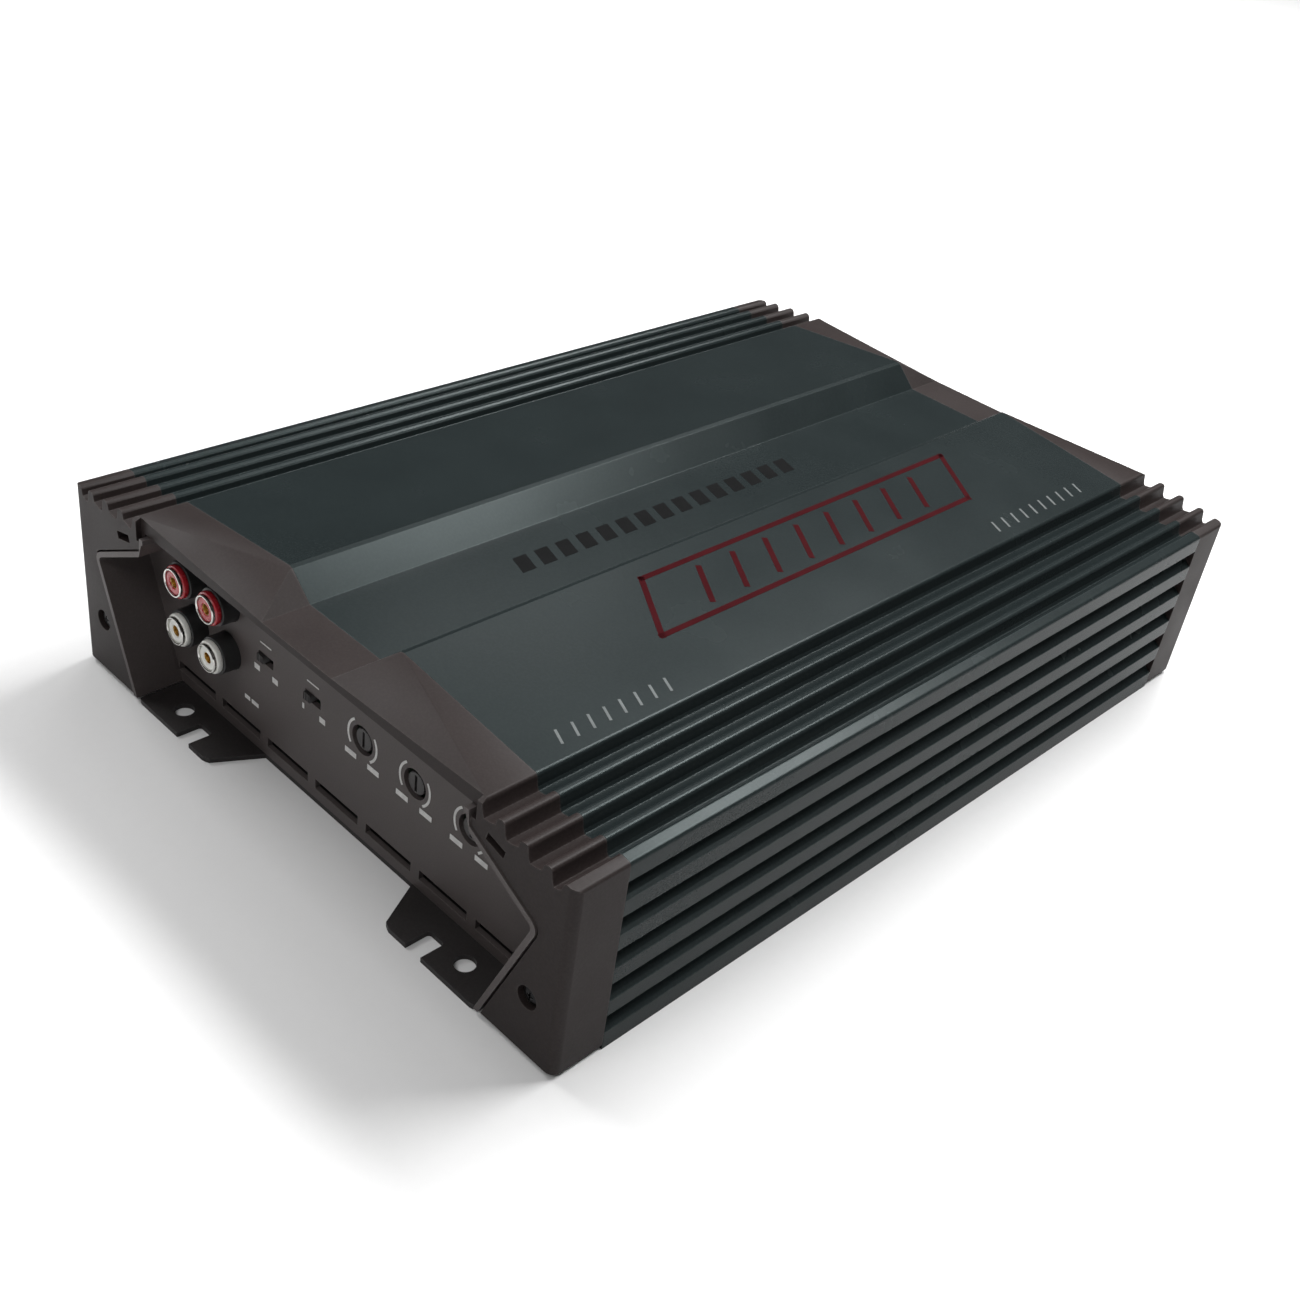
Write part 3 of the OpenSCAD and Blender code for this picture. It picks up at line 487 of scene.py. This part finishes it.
def makeKnob(node):
    low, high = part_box(node)
    centre = (low + high) / 2
    radius = (high.x - low.x) / 2
    length = high.y - low.y
    matrix = facing((0, 1, 0), (centre.x, low.y, centre.z))
    soft, flute = knob["soft"] * mm, knob["fluteDepth"] * mm
    shaft, shoulder = knob["shaft"] * mm, length - knob["shaftLength"] * mm
    profile = [(0, 0), (radius * 0.55, 0), (radius - soft * 1.6, 0), (radius - soft * 0.9, soft * 0.25),
               (radius - soft * 0.35, soft), (radius, soft * 2.2), (radius, shoulder), (shaft, shoulder),
               (shaft, length), (0, length)]

    def build(work):
        rings = lathe(work, profile, knob["steps"], matrix)
        centreLine = Vector((centre.x, 0, centre.z))
        for ring in rings[4:7]:
            for k, vert in enumerate(ring):
                wave = math.cos(math.tau * k * knob["flutes"] / knob["steps"])
                outwards = Vector((vert.co.x, 0, vert.co.z)) - centreLine
                vert.co -= outwards.normalized() * flute * (0.5 - 0.5 * wave)

    piece = meshFrom(node + "_fluted", build, 50)
    width, span, depth = (value * mm for value in knob["slot"])

    def slotBuild(work):
        boxInto(work, (centre.x - width / 2, low.y - mm, centre.z - span / 2),
                (centre.x + width / 2, low.y + depth, centre.z + span / 2))

    cutWith(piece, slotBuild)
    place(piece, node + "_body", "knob_plastic", knobPlastic, node)

    def markBuild(work):
        boxInto(work, (centre.x - width * 0.3, low.y + depth * 0.9, centre.z + span * 0.10),
                (centre.x + width * 0.3, low.y + depth * 1.05, centre.z + span * 0.46))

    place(meshFrom(node + "_mark", markBuild), node + "_body", "knob_plastic", inkWhite)


for knobName in ("gain_knob", "filter_knob", "boost_knob"):
    makeKnob(knobName)


slider = {"ribs": 4, "ribDepth": 0.35, "ribWidth": 0.32, "reach": 1.05}


def makeSlider(node):
    # the nub gets grip ribs across its front face
    piece = roundedCopy(node, node + "_ribbed", 0.0002, 2)
    low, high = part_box(node)
    nubFront = low.y
    depth, width = slider["ribDepth"] * mm, slider["ribWidth"] * mm
    centre = (low.x + high.x) / 2
    reach = slider["reach"] * mm

    def build(work):
        for k in range(slider["ribs"]):
            x = centre - reach + 2 * reach * k / (slider["ribs"] - 1)
            boxInto(work, (x - width / 2, nubFront - mm, low.z - mm),
                    (x + width / 2, nubFront + depth, high.z + mm))

    cutWith(piece, build)
    place(piece, node + "_body", "knob_plastic", knobPlastic, node)


for sliderName in ("phase_slider", "range_slider"):
    makeSlider(sliderName)
place(roundedCopy("switch_bodies", "switch_cans", 0.0003, 2), chassis, "switch_steel", tinnedSteel,
      "switch_bodies")
place(roundedCopy("pot_bodies", "pot_shells", 0.0003, 2), chassis, "blue_plastic", blueShell, "pot_bodies")
print("controls done")


# screws

# crossDepth, barReach and barHalf are fractions of the head's radius, thread and threadDepth are mm
screw = {"steps": 40, "dome": 0.45, "crossDepth": 0.5625, "barReach": 0.56, "barHalf": 0.13,
         "barTaper": 0.35, "thread": 0.5, "threadDepth": 0.06}


def screwShape(work, head, height, shank, length, matrix):
    # domed head at the local origin, shank along local +Z with ridges for its thread
    dome = height * screw["dome"]
    profile = [(0, 0), (head * 0.35, dome * 0.05), (head * 0.65, dome * 0.22), (head * 0.86, dome * 0.55),
               (head * 0.97, dome * 1.05), (head, dome * 1.5), (head, height * 0.96), (head * 0.97, height),
               (shank, height)]
    turns = max(2, int(length / (screw["thread"] * mm)))
    for k in range(turns * 2 + 1):
        crest = shank if k % 2 == 0 else shank - screw["threadDepth"] * mm
        profile.append((crest, height + length * (k + 0.5) / (turns * 2 + 2)))
    profile += [(shank * 0.7, height + length), (0, height + length)]
    lathe(work, profile, screw["steps"], matrix)


def slotCutter(work, head, depth, matrix):
    # one bar of a cross recess, narrower towards its bottom
    reach, half = head * screw["barReach"], head * screw["barHalf"]
    verts = boxInto(work, (-reach, -half, -depth), (reach, half, depth), matrix)
    middle = matrix @ Vector((0, 0, depth))
    axis = (matrix.to_3x3() @ Vector((0, 0, 1))).normalized()
    for vert in verts:
        if (vert.co - middle).dot(axis) > -depth * 0.1:
            vert.co = middle + (vert.co - middle) * screw["barTaper"]


def makeScrews(node, spots, direction, head, height, shank):
    # spots are the head tops; each screw is its own piece
    depth = screw["crossDepth"] * head
    for index, (spot, length) in enumerate(spots):
        matrix = facing(direction(spot), spot)

        def build(work):
            screwShape(work, head, height, shank, length, matrix)

        piece = meshFrom(node + "_" + str(index), build, 40)
        for turn in (0, math.pi / 2):
            spin = matrix @ Matrix.Rotation(turn, 4, "Z")
            cutWith(piece, lambda work: slotCutter(work, head, depth, spin))
        place(piece, chassis, "black_screw", blackSteel, node)


def inwards(spot):
    return (0, -1 if spot[1] > 0 else 1, 0)


def endSpots(node, radius):
    # head tops of the four screws of an end-facing node, mirrored about the middle
    low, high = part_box(node)
    x, z = high.x - radius, (low.z + high.z) / 2
    return [(sx * x, sy * high.y, z) for sx in (-1, 1) for sy in (-1, 1)]


# head radius, head height, shank radius and length under the head, in mm
screwSizes = {"end_cap_screws": (2.9, 2.2, 1.25, 21), "panel_screws": (2.6, 1.6, 1.2, 8),
              "bottom_screws": (1.6, 1.4, 1.2, 5)}
for endNode in ("end_cap_screws", "panel_screws"):
    head, height, shank, length = (value * mm for value in screwSizes[endNode])
    makeScrews(endNode, [(spot, length) for spot in endSpots(endNode, head)], inwards, head, height, shank)
head, height, shank, length = (value * mm for value in screwSizes["bottom_screws"])
plateLow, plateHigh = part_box("bottom_screws")
sideX, endY = plateHigh.x - head, plateHigh.y - head
plateSpots = [((sx * sideX, y, plateLow.z), length) for sx in (-1, 1) for y in (-endY, 0, endY)]
makeScrews("bottom_screws", plateSpots, lambda spot: (0, 0, 1), head, height, shank)
print("screws done")


# terminals and fuses

for blockName in ("power_terminal", "speaker_terminal", "fuse_holder"):
    place(roundedCopy(blockName, blockName + "_moulding", 0.0004, 2), chassis, "black_plastic", blackNylon,
          blockName)
place(roundedCopy("terminal_inserts", "terminal_insert_blocks", 0.0002, 2), chassis, "brass_parts", brass,
      "terminal_inserts")
for wireName in ("positive", "remote", "ground", "speaker_plus", "speaker_minus"):
    screwName = wireName + "_screw"
    place(roundedCopy(screwName, screwName + "_socket", 0.0003, 3), screwName + "_body", "nickel_plate",
          nickel, screwName)
for fuseName in ("first_fuse", "second_fuse"):
    place(roundedCopy(fuseName, fuseName + "_blade_type", 0.00035, 3), fuseName + "_body", "fuse_plastic",
          fuseAmber, fuseName)
place(roundedCopy("status_lights", "status_light_lenses", 0.0005, 4), chassis, "light_lens", lensGreen,
      "status_lights")
print("power end done")


# boards, coils and the other inside parts

inside = {
    "main_board": ("circuit_board", circuitGreen), "control_board": ("circuit_board", circuitGreen),
    "board_header": ("black_plastic", blackNylon), "board_standoffs": ("brass_parts", brass),
    "board_screws": ("zinc_screw", zincSteel), "clamp_screws": ("zinc_screw", zincSteel),
    "supply_core": ("ferrite", ferriteCoat), "choke_core": ("ferrite", ferriteCoat),
    "supply_winding": ("enamel_wire", enamelWire), "choke_winding": ("enamel_wire", enamelWire),
    "input_capacitors": ("capacitor_sleeve", canSleeve), "rail_capacitors": ("capacitor_sleeve", canSleeve),
    "supply_transistors": ("package_epoxy", epoxy), "output_transistors": ("package_epoxy", epoxy),
    "left_thermal_pad": ("silicone_pad", siliconePad), "right_thermal_pad": ("silicone_pad", siliconePad),
    "left_clamp_bar": ("plain_aluminium", sawnAluminium),
    "right_clamp_bar": ("plain_aluminium", sawnAluminium)}
for nodeName, (slotName, material) in inside.items():
    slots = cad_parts[nodeName].data.materials
    slots.clear()
    slots.append(material)
print("inside parts coloured")


# printed marks

ink = {"lift": 0.04, "sink": 0.02}


def stamp(name, outlines, plane, slotName, material):
    # flat shapes in the plane's own x and y, raised by a hair; outlines are lists of points
    def build(work):
        for outline in outlines:
            base = [work.verts.new(plane @ Vector((x, y, -ink["sink"] * mm))) for x, y in outline]
            face = work.faces.new(base)
            raised = bmesh.ops.extrude_face_region(work, geom=[face])["geom"]
            up = plane.to_3x3() @ Vector((0, 0, (ink["lift"] + ink["sink"]) * mm))
            for part in raised:
                if isinstance(part, bmesh.types.BMVert):
                    part.co += up

    return place(meshFrom(name, build), chassis, slotName, material)


def bar(x, y, width, height):
    return [(x - width / 2, y - height / 2), (x + width / 2, y - height / 2),
            (x + width / 2, y + height / 2), (x - width / 2, y + height / 2)]


def arcBand(x, y, radius, thick, start, end, steps=14):
    angles = [math.radians(start + (end - start) * k / steps) for k in range(steps + 1)]
    within = radius - thick
    outer = [(x + radius * math.cos(a), y + radius * math.sin(a)) for a in angles]
    inner = [(x + within * math.cos(a), y + within * math.sin(a)) for a in reversed(angles)]
    return outer + inner


def stroke(points, width):
    # one four-cornered bar for each pair of points, ends run past by half the width
    bars = []
    for (x0, y0), (x1, y1) in zip(points, points[1:]):
        along = Vector((x1 - x0, y1 - y0)).normalized() * width / 2
        side = Vector((-along.y, along.x))
        a, b = Vector((x0, y0)) - along, Vector((x1, y1)) + along
        bars.append([tuple(a - side), tuple(b - side), tuple(b + side), tuple(a + side)])
    return bars


knobSunk = 0.35


def panelPlane():
    # local x is the row's x, local y its z, and local z points out of the signal end
    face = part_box("gain_knob")[0].y - knobSunk * mm
    return Matrix.Translation((0, face, 0)) @ Matrix.Rotation(math.pi / 2, 4, "X")


dial = {"radius": 6.1, "thick": 0.7, "arcs": ((125, 215), (35, -55)), "barLow": -6.6, "barOut": 4.6,
        "bar": (4.6, 1.6)}
# bar heights and places beside the switches, from the middle of each switch's travel
label = {"travelHalf": 1.6, "low": 4.4, "out": 4.1, "wide": 2.4, "narrow": 0.8, "height": 1.7,
         "line": (5.0, 0.4), "lineUp": 4.6}
# (distance past the jacks, width) of each bar under them
jackLabels = {"bars": ((3.6, 2.4), (7.2, 3.2)), "down": 10.6, "height": 1.3}


def printPanel():
    plane = panelPlane()
    arcs, bars = [], []
    for node in ("gain_knob", "filter_knob", "boost_knob"):
        spot = middleOf(node)
        radius, thick = dial["radius"] * mm, dial["thick"] * mm
        for start, end in dial["arcs"]:
            arcs.append(arcBand(spot.x, spot.z, radius, thick, start, end))
        for side in (-1, 1):
            width, height = dial["bar"][0] * mm, dial["bar"][1] * mm
            bars.append(bar(spot.x + side * dial["barOut"] * mm, spot.z + dial["barLow"] * mm, width, height))
    for index, node in enumerate(("phase_slider", "range_slider")):
        spot = middleOf(node)
        centre = spot.x + label["travelHalf"] * mm
        low = spot.z - label["low"] * mm
        for side in (-1, 1):
            width = label["wide" if side > 0 or index == 0 else "narrow"] * mm
            bars.append(bar(centre + side * label["out"] * mm, low, width, label["height"] * mm))
        lineWidth, lineHeight = (value * mm for value in label["line"])
        bars.append(bar(centre, spot.z + label["lineUp"] * mm, lineWidth, lineHeight))
    rowLow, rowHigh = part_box("white_jack_rings")
    middle = (rowLow.z + rowHigh.z) / 2
    under = middle - jackLabels["down"] * mm
    for past, width in jackLabels["bars"]:
        bars.append(bar(rowHigh.x + past * mm, under, width * mm, jackLabels["height"] * mm))
    stamp("panel_dial_arcs", arcs, plane, "panel_paint", inkWhite)
    stamp("panel_print_bars", bars, plane, "panel_paint", inkWhite)


plateau = {"inner": (22.8, 65.9), "outer": (68.9, 61.3)}


def plateauPlane():
    # local x runs outwards down the right plateau from the body's middle, local y is the row's y
    (x0, z0), (x1, z1) = plateau["inner"], plateau["outer"]
    drop = (z1 - z0) / (x1 - x0)
    across = Vector((1, 0, drop)).normalized()
    along = Vector((0, 1, 0))
    at = Vector((0, 0, (z0 - drop * x0) * mm))
    axes = Matrix((across, along, across.cross(along))).transposed().to_4x4()
    return Matrix.Translation(at) @ axes


accent = {"x": (29.5, 49.5), "y": (-65, 79), "line": 1.7, "slant": 6, "strokes": 9, "margin": 4}
# rows of (first y, how many), and where each dash ends across the plateau
dash = {"rows": ((-112, 8), (62, 10)), "pitch": 5, "x": (65.6, 61.8), "lean": 0.7, "line": 0.7}


def printPlateau():
    plane = plateauPlane()
    (x0, x1), (y0, y1) = accent["x"], accent["y"]
    slant, line = accent["slant"], accent["line"]
    frameLine = [(x1, y0), (x1, y1 - slant * 2), (x0, y1), (x0, y0 + slant * 2), (x1, y0)]
    shapes = stroke([(x * mm, y * mm) for x, y in frameLine], line * mm)
    step = (y1 - y0 - slant * 4) / accent["strokes"]
    for k in range(1, accent["strokes"]):
        y = y0 + slant + step * (k + 0.5)
        ends = [(x1 - accent["margin"], y - slant * 0.6), (x0 + accent["margin"], y + slant * 0.6)]
        shapes += stroke([(x * mm, along * mm) for x, along in ends], line * mm)
    stamp("plateau_red_stripe", shapes, plane, "body_anodised", inkRed)
    dashes = []
    lean = dash["lean"] * mm
    outer, inner = (x * mm for x in dash["x"])
    for start, count in dash["rows"]:
        for k in range(count):
            y = (start + k * dash["pitch"]) * mm
            dashes += stroke([(outer, y - lean), (inner, y + lean)], dash["line"] * mm)
    stamp("plateau_pale_dashes", dashes, plane, "body_anodised", inkGrey)


inlay = {"floor": 59.1, "x": (-3.6, 3.4), "y": (-70, 43), "slant": 2.2, "bars": 15, "fill": 0.62}


def printChannel():
    plane = Matrix.Translation((0, 0, inlay["floor"] * mm))
    (x0, x1), (y0, y1) = inlay["x"], inlay["y"]
    pitch = (y1 - y0) / inlay["bars"]
    slant, wide = inlay["slant"], pitch * inlay["fill"]
    blocks = []
    for k in range(inlay["bars"]):
        y = y0 + k * pitch
        corners = [(x1, y), (x1, y + wide), (x0, y + wide + slant), (x0, y + slant)]
        blocks.append([(x * mm, y * mm) for x, y in corners])
    stamp("channel_dark_bars", blocks, plane, "body_anodised", inlayDark)


printPanel()
printPlateau()
printChannel()
print("prints done")


# floor, lamps and camera

def showroom():
    work = bmesh.new()
    bmesh.ops.create_grid(work, x_segments=1, y_segments=1, size=3)
    mesh = bpy.data.meshes.new("floor")
    work.to_mesh(mesh)
    work.free()
    floor = newObject("floor", mesh)
    paper = finish("floor_paper", {
        "color": (0.76, 0.76, 0.76), "blotch": (0.75, 0.75, 0.75), "speckColor": (0.74, 0.74, 0.74),
        "patch": 0.2, "grain": 0.003, "rough": (0.75, 0.85), "bump": 0.03, "depth": 0.00005, "specular": 0.2})
    floor.data.materials.append(paper)


worldStrength = 0.06
lamps = [
    {"name": "key_box", "at": (-0.50, 0.58, 1.80), "aim": (0, 0, 0), "size": (1.1, 0.8), "watts": 6.5},
    {"name": "shine_box", "at": (0.13, 0.75, 1.10), "aim": (0, 0, 0.05), "size": (1.0, 0.32), "watts": 27},
    {"name": "back_box", "at": (-0.71, 0.66, 0.92), "aim": (0, 0, 0.05), "size": (0.4, 0.3), "watts": 1.4},
    {"name": "wash_box", "at": (-0.10, 1.00, 1.00), "aim": (-0.30, 2.40, 0), "size": (0.8, 0.4), "watts": 12},
    {"name": "left_box", "at": (-0.95, -0.20, 1.00), "aim": (0, 0, 0.05), "size": (0.5, 0.5), "watts": 9},
    {"name": "fill_box", "at": (0.3, -1.4, 1.8), "aim": (0, 0, 0), "size": (1.4, 1.0), "watts": 16},
]


def lightUp():
    for lamp in lamps:
        light = bpy.data.lights.new(lamp["name"], "AREA")
        light.shape = "RECTANGLE"
        light.size, light.size_y = lamp["size"]
        light.energy = lamp["watts"]
        piece = bpy.data.objects.new(lamp["name"], light)
        away = Vector(lamp["at"]) - Vector(lamp["aim"])
        piece.matrix_world = facing(away, lamp["at"])
        scene.collection.objects.link(piece)
    world = bpy.data.worlds.new("studio")
    world.use_nodes = True
    world.node_tree.nodes["Background"].inputs["Color"].default_value = (1, 1, 1, 1)
    world.node_tree.nodes["Background"].inputs["Strength"].default_value = worldStrength
    scene.world = world
    scene.view_settings.view_transform = "Standard"


shot = {"azimuth": 39.087, "elevation": 34.257, "roll": 9.4775, "distance": 0.48808,
        "aside": 0.00084, "above": -0.00214, "lift": 0.0015, "lens": 43.29,
        "shift": (-0.01773, 0.0130)}


def aimCamera():
    turn, tilt, roll = (math.radians(shot[key]) for key in ("azimuth", "elevation", "roll"))
    back = Vector((math.sin(turn) * math.cos(tilt), -math.cos(turn) * math.cos(tilt), math.sin(tilt)))
    level = Vector((math.cos(turn), math.sin(turn), 0))
    upright = level.cross(back) * -1
    right = math.cos(roll) * level + math.sin(roll) * upright
    up = math.cos(roll) * upright - math.sin(roll) * level
    at = shot["aside"] * right + shot["above"] * up + shot["distance"] * back + Vector((0, 0, shot["lift"]))
    lens = bpy.data.cameras.new("camera")
    lens.lens = shot["lens"]
    lens.sensor_width = 36
    lens.clip_start = 0.01
    lens.shift_x, lens.shift_y = shot["shift"]
    camera = bpy.data.objects.new("camera", lens)
    camera.matrix_world = Matrix.Translation(at) @ Matrix((right, up, back)).transposed().to_4x4()
    scene.collection.objects.link(camera)
    scene.camera = camera


showroom()
lightUp()
aimCamera()
print("floor, light and camera set")
